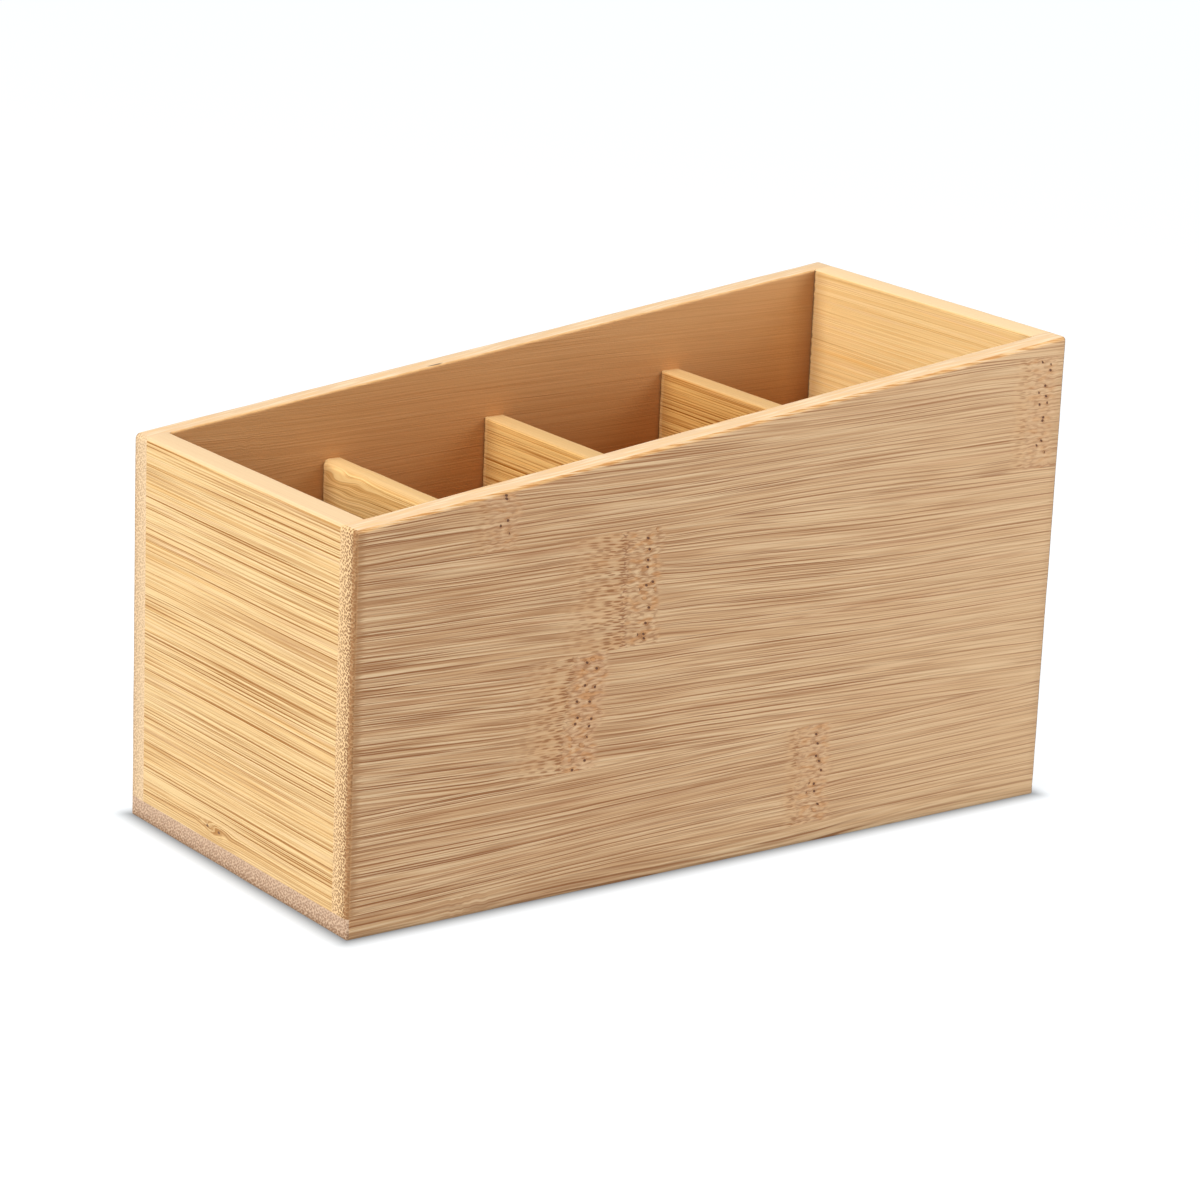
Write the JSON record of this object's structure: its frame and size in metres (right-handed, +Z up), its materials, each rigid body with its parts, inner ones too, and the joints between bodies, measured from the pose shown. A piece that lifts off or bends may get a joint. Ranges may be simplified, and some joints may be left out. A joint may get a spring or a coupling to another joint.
{
  "type": "pen holder",
  "caption": "Open bamboo desk box with a sloping rim and upright dividers that keep pens, pencils and small tools standing in separate compartments.",
  "frame": {"origin": "middle of the underside, on the surface the box stands on", "axes": "+X along the length towards the tall end, +Y from the front face to the back face, +Z up"},
  "size_m": [0.2, 0.095, 0.1154],
  "materials": {
    "flat_grain_bamboo": "fine sanded, thin clear satin lacquer",
    "edge_grain_bamboo": "fine sanded, thin clear satin lacquer",
    "bamboo_pin": "raw turned bamboo"
  },
  "bodies": {
    "root": {"base_front_strip": "flat_grain_bamboo", "base_front_middle_strip": "flat_grain_bamboo", "base_back_middle_strip": "flat_grain_bamboo", "base_back_strip": "flat_grain_bamboo", "front_panel_bottom_strip": "flat_grain_bamboo", "front_panel_lower_strip": "flat_grain_bamboo", "front_panel_middle_strip": "flat_grain_bamboo", "front_panel_upper_strip": "flat_grain_bamboo", "front_panel_corner_strip": "flat_grain_bamboo", "back_panel_bottom_strip": "flat_grain_bamboo", "back_panel_lower_strip": "flat_grain_bamboo", "back_panel_middle_strip": "flat_grain_bamboo", "back_panel_upper_strip": "flat_grain_bamboo", "back_panel_corner_strip": "flat_grain_bamboo", "low_end_panel": "edge_grain_bamboo", "high_end_panel": "edge_grain_bamboo", "low_divider": "edge_grain_bamboo", "middle_divider": "edge_grain_bamboo", "high_divider": "edge_grain_bamboo", "low_end_pins": "bamboo_pin", "high_end_pins": "bamboo_pin", "low_divider_pins": "bamboo_pin", "middle_divider_pins": "bamboo_pin", "high_divider_pins": "bamboo_pin", "base_pins": "bamboo_pin"}
  },
  "joints": []
}
